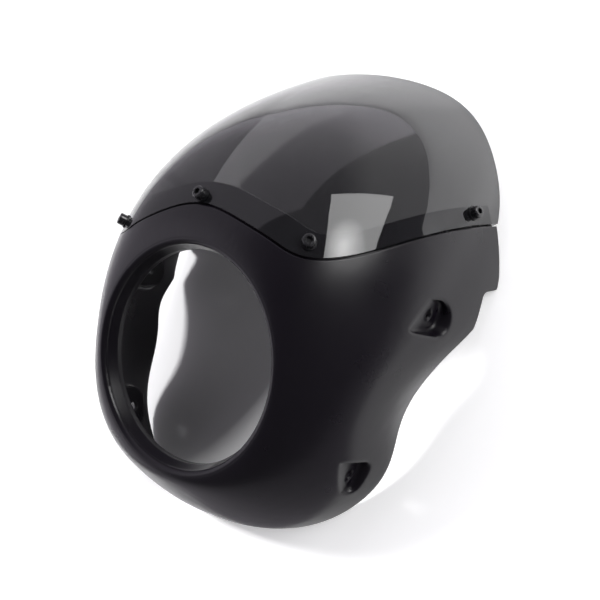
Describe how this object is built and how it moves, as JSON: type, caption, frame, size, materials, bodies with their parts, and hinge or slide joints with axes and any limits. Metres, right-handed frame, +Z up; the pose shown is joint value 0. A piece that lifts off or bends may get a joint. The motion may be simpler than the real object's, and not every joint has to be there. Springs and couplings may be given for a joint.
{
  "type": "headlight cowl",
  "caption": "Moulded motorbike headlight cowl with a round lamp opening, recessed bracket holes in its sides and a smoked clear screen screwed along its upper edge.",
  "frame": {"origin": "middle of the round lamp seat, on the lamp axis", "axes": "+Z up, the lamp looks along -Y, +X to the cowl's left as its rider sits, sides mirrored about X = 0"},
  "size_m": [0.2954, 0.181, 0.3414],
  "materials": {
    "shell_plastic": "satin black, moulded",
    "smoked_sheet": "smoked clear acrylic, polished",
    "black_steel": "black coated steel",
    "washer_plastic": "black nylon",
    "plated_steel": "zinc plated"
  },
  "bodies": {
    "root": {"cowl_shell": "shell_plastic", "windscreen": "smoked_sheet", "screen_screws": "black_steel", "head_washers": "washer_plastic", "nut_washers": "plated_steel", "lock_nuts": "plated_steel"}
  },
  "joints": []
}
